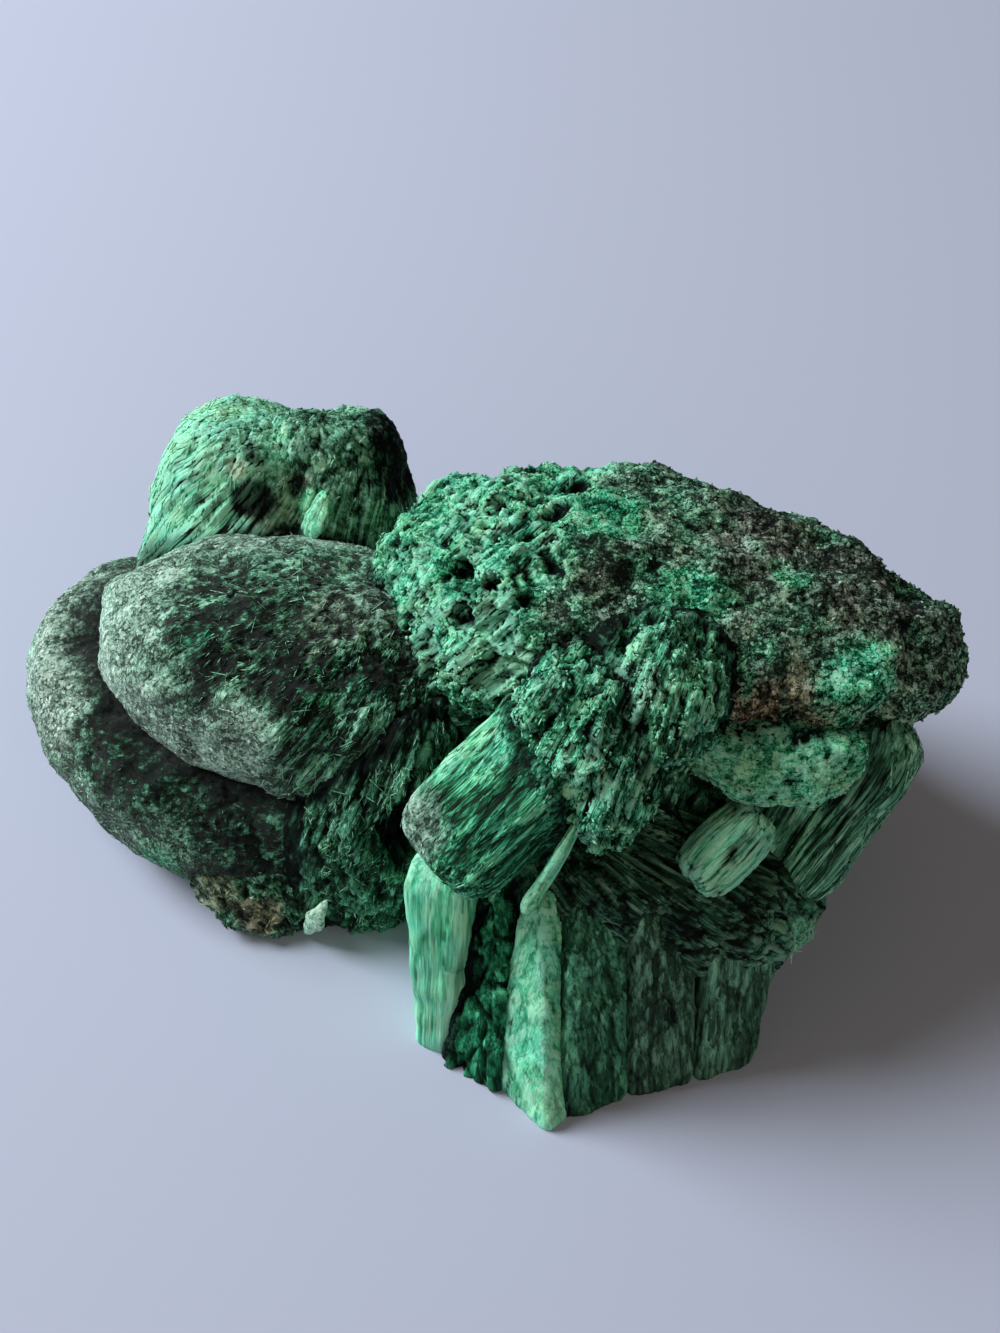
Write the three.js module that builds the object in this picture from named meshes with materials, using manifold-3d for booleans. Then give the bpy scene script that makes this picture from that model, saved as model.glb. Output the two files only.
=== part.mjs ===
// Stalactitic malachite, a loose hand specimen.
//
// The real thing is one mass that grew together: silky fibres radiate out of a
// common core, and each spray of them ends in a rounded lobe, a finger or an
// upright column. So it is one solid, the union of lobes and columns.
// Millimetres, +Z up, the specimen resting on z = 0, its broken column front
// towards -Y.

import * as THREE from 'three';
import { mergeVertices } from 'three/addons/utils/BufferGeometryUtils.js';
import Module from 'manifold-3d';

// Driving dimensions: the sizes of the whole specimen, and the middle of its
// footprint in the coordinates that the lobes are laid out in.
const LENGTH = 96;
const DEPTH = 70;
const HEIGHT = 39;
const MIDDLE = { x: -1.97, y: 0.55 };

// How finely a lobe and a column are faceted: sides round it, rings along it.
const FINE = { around: 34, along: 27 };
const MEDIUM = { around: 26, along: 16 };
const COARSE = { around: 20, along: 12 };
const SMALL = { around: 14, along: 10 };
const TINY = { around: 8, along: 6 };

// The way that most upright lobes face.
const FRONT = [0, -1, 0];

// Each lobe follows a path from its root to its tip. `wide` and `deep` are its
// half sizes across the path, and `up` the way that `deep` points. `blunt` is 2
// for a round tip and more for a flat one, and `square` is 2 for an oval section
// and more for a boxy one. `lumps` is the height of its swellings, `lumpSize`
// how far across they are, and `flutes` the furrows that run along it.

const CORE = [
  { // the middle of the mass, hidden but for its back and underside
    path: [[-26, 10, 8], [-8, 8, 12], [8, 6, 13], [22, 4, 12]],
    wide: [11, 14, 15, 10], deep: [8, 13, 14, 12], lumps: 1.4, facets: COARSE,
  },
  { // the cone of fibres that spreads up to the right under the crust
    path: [[15, -6, -6], [18, -4, 8], [25, -1, 24]],
    wide: [11, 14, 17.5], deep: [11, 13, 12], up: FRONT, blunt: 3.3, lumps: 1.0,
    flutes: 7, fluteHeight: 0.6, facets: COARSE,
  },
];

const COLUMN_ROOT = [
  { // the solid that the columns stand out from
    path: [[3, -14, -6], [7, -13, 8], [9, -9, 21]],
    wide: [12, 12.5, 12], deep: [12, 11, 9], up: FRONT, blunt: 3, lumps: 0.8, facets: COARSE,
  },
];

const BACK = [
  {
    path: [[8, 6, 25], [5, 15, 15], [2, 20, 3]],
    wide: [9, 10, 8], deep: [8, 7, 6], blunt: 2.8, lumps: 0.8, flutes: 5, fluteHeight: 0.7, facets: SMALL,
  },
  {
    path: [[22, 3, 25], [23, 12, 15], [23, 16, 3]],
    wide: [9, 9, 7.5], deep: [8, 7, 6], blunt: 2.8, lumps: 0.8, flutes: 5, fluteHeight: 0.7, facets: SMALL,
  },
  {
    path: [[35, 2, 22], [32, 6, 13], [29, 8, 4]],
    wide: [6.5, 7, 6], deep: [6, 6, 5], blunt: 2.8, lumps: 0.8, facets: SMALL,
  },
];

const CRUSTED_TOP = [
  { // the highest part: a broad rough ridge from the crest to the right tip
    path: [
      [-10, 17.5, 24.5], [-2, 11.7, 27.5], [10, 6.5, 28.6], [24, 3.4, 27], [35, 2.8, 25.8],
      [45, 5.2, 24.9],
    ],
    wide: [6.5, 10.6, 14.5, 14.3, 11.4, 6], deep: [7, 8.7, 9.6, 8.8, 7.6, 5.2],
    blunt: 3.3, square: 2.4, lumps: 1.0, lumpSize: 4.5, facets: FINE,
  },
  { // its bright left shoulder, which hangs over the upper pillow
    path: [[0.8, 10, 29], [-0.6, 3.5, 28], [2.2, -5, 26.5]],
    wide: [8, 7.2, 6], deep: [6, 5.5, 5], blunt: 2.6, lumps: 0.9, lumpSize: 4, facets: COARSE,
  },
];

const LOWER_LEFT = [
  { // the lower of the two pillows
    path: [[-8, -3, 8], [-20, 3, 8.5], [-29, 7, 9], [-38, 11, 9]],
    wide: [13, 15, 15, 12], deep: [8, 9, 8.7, 7.5], blunt: 3.6, lumps: 0.6, facets: COARSE,
  },
  { // its thick rim, which curves round it like a barrel
    path: [[-39.6, 27, 10], [-42.4, 15, 9.8], [-39.6, 5.2, 9.2], [-32, -1.4, 8.3], [-21, -4.5, 7.5]],
    wide: [6.4, 7.9, 7.8, 7.8, 7.5], deep: [7.2, 8, 8, 7.8, 7.3], blunt: 3.2, lumps: 0.7, facets: MEDIUM,
  },
  { // its foot, which reaches the ground
    path: [[-27, 1, 6], [-23, -5, 4], [-18.2, -12.6, 0.5]],
    wide: [9, 9.5, 7.5], deep: [5, 5, 4], blunt: 2.8, lumps: 0.6, facets: COARSE,
  },
];

const UPPER_LEFT = [
  { // the upper pillow
    path: [[-4, 2, 19], [-15, 4.8, 18.5], [-27, 9.8, 18.2], [-39.6, 17, 16.8]],
    wide: [11, 13.5, 13.9, 10.4], deep: [9, 9.6, 9.4, 7.2], blunt: 2.9, square: 2.3, lumps: 0.7,
    facets: MEDIUM,
  },
  { // the torn fibres that run down from it into the hollow
    path: [[-8, 0, 22], [-12.5, -6, 16], [-17, -9.5, 10]],
    wide: [7, 7, 5], deep: [5, 4.5, 3.5], blunt: 2.4, lumps: 0.5, facets: SMALL,
  },
  { // the dark floor of the hollow
    path: [[-10, -2, 16], [-13, -8, 9], [-14, -10, -2]],
    wide: [7, 8, 8], deep: [6, 5, 4.5], up: FRONT, blunt: 2.6, lumps: 0.6, facets: SMALL,
  },
];

const TOP_LEFT = [
  { // the silky fan that stands behind the pillows
    path: [[-28.5, 21.5, -2], [-28.2, 24.3, 12], [-25.6, 27.2, 23], [-23, 28.8, 31.4]],
    wide: [9, 10.2, 10.4, 8.8], deep: [8, 9, 8.5, 6.5], up: FRONT, blunt: 4.2, square: 2.4, lumps: 0.6,
    flutes: 8, fluteHeight: 0.4, facets: MEDIUM,
  },
  { // the darker knob on its right
    path: [[-15, 20, 8], [-17, 25, 22], [-17.6, 28.4, 33]],
    wide: [8, 7.8, 8.2], deep: [7, 6, 6], up: FRONT, blunt: 3, lumps: 0.9, facets: COARSE,
  },
];

const MIDDLE_LUMPS = [
  { // blunt fan on the left, its end grey
    path: [[8, -10, 30], [1, -14.5, 26.5], [-5.9, -19.6, 21.4]],
    wide: [4.5, 6, 6.2], deep: [4.5, 4.4, 3.9], blunt: 5, square: 3.4, lumps: 0.3, facets: SMALL,
  },
  { // crumbling lump with pale tips
    path: [[4, -6, 33], [8, -13, 30], [10, -20, 25]],
    wide: [6, 6, 4.8], deep: [6, 5.5, 4], blunt: 2.6, lumps: 0.8, lumpSize: 3.5, facets: SMALL,
  },
  { // grey lump that overhangs the black crevice
    path: [[14, -2, 34], [14.5, -9, 32.5], [14.5, -15, 30]],
    wide: [6, 5.5, 4.2], deep: [5, 5, 4], blunt: 2.8, lumps: 0.8, lumpSize: 3.5, facets: SMALL,
  },
  { // mint ledge along the front of the crust
    path: [[18, -10, 27.4], [25, -11.2, 26.2], [33, -9, 25.2]],
    wide: [4.5, 5, 5], deep: [2.6, 2.6, 2.6], blunt: 3.2, lumps: 0.5, lumpSize: 3.5, facets: SMALL,
  },
];

const FINGERS = [
  { // thin needle
    path: [[8, -17.8, 28.8], [6, -20.4, 26.6], [4, -22.8, 24.2], [2, -24.9, 21.8]],
    wide: [0.5, 0.55, 0.65, 1.1], deep: [0.5, 0.55, 0.65, 1], blunt: 3, lumps: 0.15, facets: TINY,
  },
  { // short rounded finger
    path: [[23.8, -15.8, 24.4], [20.5, -18.2, 22], [17.2, -20.4, 19.6]],
    wide: [2.8, 3.1, 2.9], deep: [2.7, 3, 2.8], blunt: 4, square: 2.2, lumps: 0.15, facets: SMALL,
  },
  { // right spray of fibres, cut off square
    path: [[34.8, -5, 24], [30.4, -11.8, 18.6], [25.4, -17.2, 13.2]],
    wide: [6.8, 5.1, 4.2], deep: [4.5, 4.5, 3.5], blunt: 6, square: 2.4, lumps: 0.3, facets: SMALL,
  },
];

const SLOPE = [
  { // dark fibres that fan out to the lower right over the columns
    path: [[4, -14, 14.5], [16, -16.5, 14.2], [29, -17.5, 10.6]],
    wide: [8.5, 7.4, 6.2], deep: [7.5, 6.7, 5.9], blunt: 3.3, lumps: 0.7, facets: COARSE,
  },
];

// Upright columns of the broken front, left to right: foot and head of each, its
// half widths at the ground and at the head, its half depth, the way that its
// flat face looks, and how flat its ends are.
const COLUMNS = [
  {
    foot: [-4.6, -21.9, 0], head: [-4.5, -17, 20.5],
    low: 2.1, high: 3.6, deep: 5, face: [-0.42, -0.91, 0], blunt: 7,
  },
  {
    foot: [-0.3, -25.8, 0], head: [-0.4, -15.5, 18],
    low: 3.8, high: 2.6, deep: 4.6, face: [-0.5, -0.87, 0], blunt: 5,
  },
  {
    foot: [3.6, -30.2, 0], head: [4.5, -20.3, 18.8],
    low: 4.1, high: 1.6, deep: 3, face: [-0.66, -0.75, 0], blunt: 5,
  },
  {
    foot: [7.3, -28.1, 0], head: [7.9, -19.2, 19],
    low: 3.7, high: 3.5, deep: 5, face: [0.39, -0.92, 0], blunt: 4,
  },
  {
    foot: [14.1, -25.4, 0], head: [14.5, -19.4, 19],
    low: 3.5, high: 3.5, deep: 5.6, face: [0.2, -1, 0], blunt: 4,
  },
  {
    foot: [20.3, -23.6, 0], head: [21.8, -19, 18],
    low: 3.3, high: 4.4, deep: 5.8, face: [0.25, -1, 0], blunt: 4,
  },
];

// What all columns share: how far each runs on below the ground, where the
// resting cut takes it, how much thinner its head is, and its boxy section.
const COLUMN_ROOT_DEPTH = 4;
const COLUMN_THINNING = 0.85;
const COLUMN_SHAPE = { square: 6, lumps: 0.3, lumpSize: 4.5, facets: SMALL };

const wasm = await Module();
wasm.setup();

// Slow waves bent by each other: low hills of about `size` across, in -1 to 1.
function hills(point, size) {
  const [a, b, c] = point.toArray().map((value) => value * Math.PI / size);
  return (Math.sin(a + 1.7 * Math.sin(0.9 * b + 0.6))
    + Math.sin(1.1 * b + 1.3 * Math.sin(1.2 * c + 2.1))
    + Math.sin(1.3 * c + 1.5 * Math.sin(0.8 * a + 4.2))) / 3;
}

function smoothCurve(points) {
  const curve = new THREE.CatmullRomCurve3(points.map((p) => new THREE.Vector3(...p)));
  curve.curveType = 'catmullrom';
  return curve;
}

// A closed lobe: a sphere's rings strung along the path, each stretched to the
// lobe's section there, and every point pushed out by the hills.
function lobe({ path, wide, deep, up = [0, 0, 1], blunt = 2.2, square = 2, lumps = 0.5, lumpSize = 7,
  flutes = 0, fluteHeight = 0, facets = MEDIUM }) {
  const sphere = new THREE.SphereGeometry(1, facets.around, facets.along);
  sphere.deleteAttribute('normal');
  sphere.deleteAttribute('uv');
  const shape = mergeVertices(sphere, 1e-5);
  const spine = smoothCurve(path);
  const section = smoothCurve(wide.map((w, i) => [w, deep[i], 0]));
  const upward = new THREE.Vector3(...up);
  const place = shape.attributes.position;
  for (let i = 0; i < place.count; i += 1) {
    const [x, y, z] = [place.getX(i), place.getY(i), place.getZ(i)];
    const angle = Math.atan2(z, x);
    const along = (1 + y) / 2;
    const girth = Math.max(0, 1 - Math.abs(y) ** blunt) ** (1 / blunt);
    const [across, upright] = [Math.cos(angle), Math.sin(angle)];
    const corner = (Math.abs(across) ** square + Math.abs(upright) ** square) ** (-1 / square);
    const size = section.getPoint(along);
    const forward = spine.getTangent(along);
    const side = new THREE.Vector3().crossVectors(forward, upward).normalize();
    const top = new THREE.Vector3().crossVectors(side, forward);
    const point = spine.getPoint(along)
      .addScaledVector(side, size.x * girth * corner * across)
      .addScaledVector(top, size.y * girth * corner * upright);
    const rise = lumps * (hills(point, lumpSize) + hills(point, lumpSize / 2) / 2)
      + fluteHeight * girth * (2 * Math.abs(Math.sin(flutes * angle / 2)) - 1);
    point.addScaledVector(side, rise * x).addScaledVector(forward, rise * y).addScaledVector(top, rise * z);
    place.setXYZ(i, point.x, point.y, point.z);
  }
  return solid(shape);
}

function column({ foot, head, low, high, deep, face, blunt }) {
  const root = [foot[0], foot[1], foot[2] - COLUMN_ROOT_DEPTH];
  return lobe({
    path: [root, foot, head], wide: [low, low, high], deep: [deep, deep, deep * COLUMN_THINNING],
    up: face, blunt, ...COLUMN_SHAPE,
  });
}

// A mesh whose shared corners are merged becomes a solid that can be joined.
function solid(shape) {
  const mesh = new wasm.Mesh({
    numProp: 3,
    vertProperties: new Float32Array(shape.attributes.position.array),
    triVerts: new Uint32Array(shape.index.array),
  });
  return new wasm.Manifold(mesh);
}

function join(solids) {
  return solids.reduce((whole, next) => whole.add(next));
}

// Everything below the surface that the specimen rests on is cut off flat.
function restingCut() {
  const slab = new THREE.BoxGeometry(3 * LENGTH, 3 * DEPTH, HEIGHT);
  slab.translate(0, 0, -HEIGHT / 2);
  slab.deleteAttribute('normal');
  slab.deleteAttribute('uv');
  return solid(mergeVertices(slab));
}

const lobes = [
  CORE, COLUMN_ROOT, BACK, CRUSTED_TOP, LOWER_LEFT, UPPER_LEFT, TOP_LEFT, MIDDLE_LUMPS, FINGERS, SLOPE,
].flat().map(lobe);
const mass = join([...lobes, ...COLUMNS.map(column)]).subtract(restingCut());
const { vertProperties, triVerts } = mass.getMesh();
const geometry = new THREE.BufferGeometry();
geometry.setAttribute('position', new THREE.BufferAttribute(new Float32Array(vertProperties), 3));
geometry.setIndex(new THREE.BufferAttribute(new Uint32Array(triVerts), 1));
geometry.translate(-MIDDLE.x, -MIDDLE.y, 0);
geometry.computeVertexNormals();

const stone = new THREE.MeshStandardMaterial({ color: 0x2f6b4f, roughness: 0.85, metalness: 0 });
const malachite = new THREE.Mesh(geometry, stone);
malachite.name = 'malachite';

const group = new THREE.Group();
group.add(malachite);
export default group;
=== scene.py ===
import bpy
import numpy as np
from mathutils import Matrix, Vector


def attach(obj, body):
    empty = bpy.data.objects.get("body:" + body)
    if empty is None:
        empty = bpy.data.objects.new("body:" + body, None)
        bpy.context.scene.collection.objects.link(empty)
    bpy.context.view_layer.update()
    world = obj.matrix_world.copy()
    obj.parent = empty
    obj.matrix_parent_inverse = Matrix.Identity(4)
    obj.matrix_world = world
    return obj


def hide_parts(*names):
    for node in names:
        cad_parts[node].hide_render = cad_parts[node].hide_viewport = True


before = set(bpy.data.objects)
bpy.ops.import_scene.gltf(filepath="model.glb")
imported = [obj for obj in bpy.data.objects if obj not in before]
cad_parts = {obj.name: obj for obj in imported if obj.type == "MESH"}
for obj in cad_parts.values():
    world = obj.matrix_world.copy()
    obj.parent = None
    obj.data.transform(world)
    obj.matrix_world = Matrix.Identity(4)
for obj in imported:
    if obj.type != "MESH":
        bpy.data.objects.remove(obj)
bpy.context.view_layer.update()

# Core and back
# The middle of the specimen: sprays of dark malachite fibres that all the lobes
# grew out of, seen between them, underneath and from behind. It is one mass with
# them, without a joint, and broken off rough at the back.

MM = 0.001
MIDDLE = np.array([-1.97, 0.55, 0.0])  # middle of the footprint, in the layout's millimetres
UP = (0.0, 0.0, 1.0)
FRONT = (0.0, -1.0, 0.0)
# hollow: darkness painted where shade falls, in seams, creases, clefts, pores, holes and low places
MASKS = ("tone", "grey", "rust", "hollow", "silk")


def smooth_path(points, t):
    """Points at t = 0 to 1 on a uniform Catmull-Rom curve: a cubic between each
    two points, its slope at a point half the step between that point's two
    neighbours, and a straight run-on past each end."""
    p = np.asarray(points, float)
    p = np.vstack([2 * p[0] - p[1], p, 2 * p[-1] - p[-2]])
    s = np.asarray(t) * (len(p) - 3)
    i = np.clip(s.astype(int), 0, len(p) - 4)
    u = (s - i)[..., None]
    a, b, c, d = p[i], p[i + 1], p[i + 2], p[i + 3]
    return (b + (c - a) * u / 2 + (a - 2.5 * b + 2 * c - d / 2) * u**2
            + (1.5 * (b - c) + (d - a) / 2) * u**3)


def length_of(v):
    """The length of each vector along the last axis."""
    return np.linalg.norm(v, axis=-1)


def unit(v):
    """The same directions at length 1."""
    return v / (length_of(v)[..., None] + 1e-12)


def hills(p, size):
    """Low hills about `size` mm across, -1 to 1: three sine waves along x, y and
    z, each bent by another one."""
    a, b, c = (p[..., k] * np.pi / size for k in range(3))
    return (np.sin(a + 1.7 * np.sin(0.9 * b + 0.6))
            + np.sin(1.1 * b + 1.3 * np.sin(1.2 * c + 2.1))
            + np.sin(1.3 * c + 1.5 * np.sin(0.8 * a + 4.2))) / 3


def lattice(cell, seed):
    """A random number 0 to 1 for each whole-number cell: its coordinates and the
    seed times large primes, mixed by shifts and products, and the low 24 bits."""
    x, y, z = np.moveaxis(cell, -1, 0)
    h = (x * 73856093) ^ (y * 19349663) ^ (z * 83492791) ^ (seed * 7919)
    for shift, factor in ((13, 1274126177), (15, 1911520717)):
        h = (h ^ (h >> shift)) * factor
    low_bits = 2**24 - 1
    return ((h ^ (h >> 16)) & low_bits) / low_bits


def grain(p, size, seed):
    """Random heights 0 to 1 that change over `size` mm: a random number at each
    corner of a cubic lattice, blended between corners by 3t^2 - 2t^3."""
    q = p / size
    cell = np.floor(q).astype(np.int64)
    f = q - cell
    f = f * f * (3 - 2 * f)
    total = np.zeros(q.shape[:-1])
    for corner in np.ndindex(2, 2, 2):
        weight = np.prod(np.where(corner, f, 1 - f), axis=-1)
        total += weight * lattice(cell + corner, seed)
    return total


def layered(p, size, seed, layers=3):
    """Grain at `size` plus the same at half, a quarter and so on, each half as
    high, scaled back to 0 to 1."""
    total = sum(grain(p, size / 2**k, seed + k) / 2**k for k in range(layers))
    return total / sum(0.5**k for k in range(layers))


def uneven(p, size, seed, layers=3):
    """Layered grain less a half, so that it goes both ways from 0."""
    return layered(p, size, seed, layers) - 0.5


def ease(low, high, value):
    """0 at low, 1 at high, 3t^2 - 2t^3 between."""
    t = np.clip((value - low) / (high - low), 0, 1)
    return t * t * (3 - 2 * t)


def cells(q, seed):
    """One point strewn in each unit cube. For the nearest one: the way from it, how
    much farther the next one is, and its random number."""
    freedom, out_of_reach = 0.7, 9.0
    base = np.floor(q - 0.5).astype(np.int64)
    first = np.full(q.shape[:-1], out_of_reach)
    second, own, way = first.copy(), np.zeros_like(first), np.zeros(q.shape)
    for step in np.ndindex(2, 2, 2):
        cell = base + np.array(step)
        strewn = np.stack([lattice(cell, seed + k) for k in range(3)], -1)
        off = q - cell - 0.5 - freedom * (strewn - 0.5)
        away = length_of(off)
        closer = away < first
        second = np.where(closer, first, np.minimum(second, away))
        own = np.where(closer, lattice(cell, seed + 3), own)
        way = np.where(closer[..., None], off, way)
        first = np.where(closer, away, first)
    return way, second - first, own


def mosaic(q, seed, step, tilt, depth, rim):
    """Cells that each stand higher or lower by their random number times `step`,
    with a flat face tilted by `tilt` in a direction that turns with that number,
    and edges that sink by `depth` over `rim`. Gives the height, 1 at the edges and
    0 inside, and the random number less a half."""
    way, edge, own = cells(q, seed)
    face = (way * np.stack([np.cos(40 * own), np.sin(40 * own), np.sin(71 * own)], -1)).sum(-1)
    gap = 1 - ease(0, rim, edge)
    return step * (own - 0.5) + tilt * face - depth * gap, gap, own - 0.5


def evened(height):
    """Heights averaged with their neighbours along and round a lobe, at steps of
    1, 1, 2, 2, 3 and 4 grid points, which spreads each over about 1 mm."""
    for step in (1, 1, 2, 2, 3, 4):
        wide = np.pad(height, ((step, step), (0, 0)), mode="edge")
        along = (wide[:-2 * step] + wide[2 * step:]) / 2
        around = (np.roll(height, step, 1) + np.roll(height, -step, 1)) / 2
        height = height / 2 + (along + around) / 4
    return height


class Lobe:
    """One closed lobe of the specimen: a grid of points in layout millimetres,
    rows along its path and columns round it, with the masks of its finish."""

    def __init__(self, path, wide, deep, up=UP, blunt=2.2, square=2.0, lumps=0.5, lump_size=7.0,
                 flutes=0, flute_height=0.0, spacing=0.3, crowd=0.35, source=None, twist=None):
        """At t along the path, with y = 2t - 1, the surface is a ring with half
        sizes wide and deep times (1 - |y|^blunt)^(1/blunt), a superellipse of
        power `square`, pushed out by hills and by |sin| flutes. Rows are even by
        length, and columns crowd on the top side, at a + crowd cos(a) for even a.
        Fibres spread from `source`, or from far behind the path, or with `twist`
        lie on the surface and wind round it by that many radians a mm."""
        self.path, self.up = np.asarray(path, float), up
        self.sizes = np.column_stack([wide, deep])
        self.blunt, self.square = blunt, square
        trials, fewest, far_behind = 400, 12, 60

        def girth_at(y):
            return np.maximum(0, 1 - np.abs(y) ** blunt) ** (1 / blunt)

        trial = np.sin(np.linspace(-np.pi / 2, np.pi / 2, trials))
        centre = smooth_path(self.path, (1 + trial) / 2)
        reach = smooth_path(self.sizes, (1 + trial) / 2).mean(-1) * girth_at(trial)
        pace = length_of(np.diff(centre, axis=0))
        step = np.hypot(pace, np.diff(reach))
        run = np.concatenate([[0], np.cumsum(step)])
        rows = max(fewest, int(run[-1] / spacing))
        cols = max(fewest, int(2 * np.pi * self.sizes.mean() / spacing))
        y = np.interp(np.linspace(0, run[-1], rows), run, trial)[:, None]
        angle = np.linspace(0, 2 * np.pi, cols, endpoint=False)[None, :]
        angle = angle + crowd * np.cos(angle)
        t = (1 + y[:, 0]) / 2
        spine, side, forward, top, _ = self.frames(t)
        size = smooth_path(self.sizes, t)
        girth = girth_at(y)
        ca, sa = np.cos(angle), np.sin(angle)
        corner = (np.abs(ca) ** square + np.abs(sa) ** square) ** (-1 / square)
        farthest = max(2 ** (0.5 - 1 / square) - 1, 0.1)
        self.corner = ease(0.6, 1.0, (corner - 1) / farthest) * np.ones_like(girth)
        corner = corner * girth
        a, f, b = side[:, None, :], forward[:, None, :], top[:, None, :]
        p = (spine[:, None, :] + a * (size[:, :1] * corner * ca)[..., None]
             + b * (size[:, 1:] * corner * sa)[..., None])
        ring = np.sqrt(np.maximum(0, 1 - y**2))
        out = a * (ring * ca)[..., None] + f * y[..., None] + b * (ring * sa)[..., None]
        rise = (lumps * (hills(p, lump_size) + hills(p, lump_size / 2) / 2)
                + flute_height * girth * (2 * np.abs(np.sin(flutes * angle / 2)) - 1))
        self.points = p + out * rise[..., None]
        self.seam = 0 * rise
        ahead = unit(self.path[-1] - self.path[0])
        self.source = self.path[0] - far_behind * ahead if source is None else np.asarray(source, float)
        self.ahead = unit(self.path.mean(0) - self.source)
        self.wound = None
        if twist is not None:
            along = np.interp(y, trial, np.concatenate([[0], np.cumsum(pace)]))
            turn, reach = angle + twist * along, self.sizes.mean() * girth
            self.wound = np.stack([reach * np.cos(turn), reach * np.sin(turn), along + 0 * turn], -1)

    def frames(self, t):
        """Centre, side, forward and top directions and pace in mm at t."""
        nudge = 1e-4
        centre = smooth_path(self.path, t)
        change = (smooth_path(self.path, t + nudge) - smooth_path(self.path, t - nudge)) / (2 * nudge)
        forward = unit(change)
        side = unit(np.cross(forward, self.up))
        return centre, side, forward, np.cross(side, forward), length_of(change)

    def gap(self, p):
        """Rough distance in mm from points to this lobe's plain surface, negative
        inside: with (u, v) the place across the path over the half sizes,
        ((|u|^square + |v|^square)^(blunt/square) + |y|^blunt)^(1/blunt) - 1
        times the smaller half size."""
        samples = 33
        t = np.linspace(0, 1, samples)
        centre, side, forward, top, pace = self.frames(t)
        size = smooth_path(self.sizes, t)
        near = np.argmin((centre**2).sum(-1) - 2 * p @ centre.T, axis=-1)
        off = p - centre[near]
        y = 2 * (t[near] + (off * forward[near]).sum(-1) / pace[near]) - 1
        u = np.abs((off * side[near]).sum(-1)) / size[near, 0]
        v = np.abs((off * top[near]).sum(-1)) / size[near, 1]
        across = (u**self.square + v**self.square) ** (self.blunt / self.square)
        return ((across + np.abs(y) ** self.blunt) ** (1 / self.blunt) - 1) * size[near].min(-1)

    def nearest_gap(self, others, within):
        """The smallest gap to any of some other lobes, at most `within` mm."""
        flat = self.points.reshape(-1, 3)
        least = np.full(len(flat), float(within))
        for other in others:
            low = other.points.min((0, 1)) - within
            high = other.points.max((0, 1)) + within
            near = ((flat > low) & (flat < high)).all(-1)
            least[near] = np.minimum(least[near], other.gap(flat[near]))
        return least.reshape(self.points.shape[:2])

    def fibres(self):
        """Fibre coordinates in mm: the direction from the source, scaled to the
        lobe's own distance, and the distance itself along the fibre."""
        if self.wound is not None:
            return self.wound
        off = self.points - self.source
        distance = length_of(off)
        across = unit(np.cross(self.ahead, (0.31, 0.17, 0.93)))
        over = np.cross(self.ahead, across)
        reach = length_of(self.path.mean(0) - self.source)
        return np.stack([off @ across / distance * reach, off @ over / distance * reach, distance], -1)

    def normals(self):
        """Outward normals: the step along the rows crossed with the step round them."""
        along = np.gradient(self.points, axis=0)
        around = np.roll(self.points, -1, axis=1) - np.roll(self.points, 1, axis=1)
        n = unit(np.cross(along, around))
        n[0], n[-1] = unit(n[1].mean(0)), unit(n[-2].mean(0))
        return n

    def meeting(self, other, fade, within):
        """1 where this lobe meets another one, easing to 0 at a gap of `fade` mm."""
        return 1 - ease(0, fade, np.abs(self.nearest_gap([other], within)))

    def raise_by(self, height):
        """Moves every point along its normal, and keeps the two end rows closed."""
        height = height.copy()
        height[0], height[-1] = height[0].mean(), height[-1].mean()
        self.points = self.points + self.normals() * height[..., None]

    def flare(self, others, radius):
        """Runs this lobe out onto the ones it grew from, as r(1 - gap/r)^2 / 2, and
        keeps where the seam between them is, for the painted shade there."""
        near = np.abs(self.nearest_gap(others, radius))
        self.seam = ease(1.3, 0.2, near)
        self.raise_by(radius / 2 * np.clip(1 - near / radius, 0, 1) ** 2)
        return self

    def finish(self, seed, tone, silk=0.0, crust=0.0, nap=0.0, grit=0.0, grey=0.0, rust=0.0, hollow=0.0,
               bold=1.0):
        """Raises the relief of each texture by its weight, and keeps the masks and
        the fibre coordinates.
        Silk: bundles and splinters, cells 2 and 0.8 mm wide drawn out along the
        fibres, each with a flat tilted face. Crust: blocks and chips with tilted
        faces, and wide and narrow pores where grain runs low. Nap: low swellings
        under fine granules. Grit: a mosaic of small grains, low but strong in
        tone. Painted shade darkens what lies lower than its surroundings, the seams,
        the clefts and cracks between cells and the pores, and crests are painted
        lighter."""
        p, c = self.points, self.fibres()
        height = 0.5 * uneven(p, 6.0, seed)
        own_tone = (0.26 * (1 - silk) * uneven(p, 3.0, seed + 5)
                    + 0.36 * silk * uneven(c / (1, 1, 5), 1.6, seed + 8))
        gap_shade = 0.8 * self.seam

        def bent(amount, size, first_seed):
            bend = np.stack([grain(p, size, first_seed + k) - 0.5 for k in range(3)], -1)
            return c + amount * bend

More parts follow.
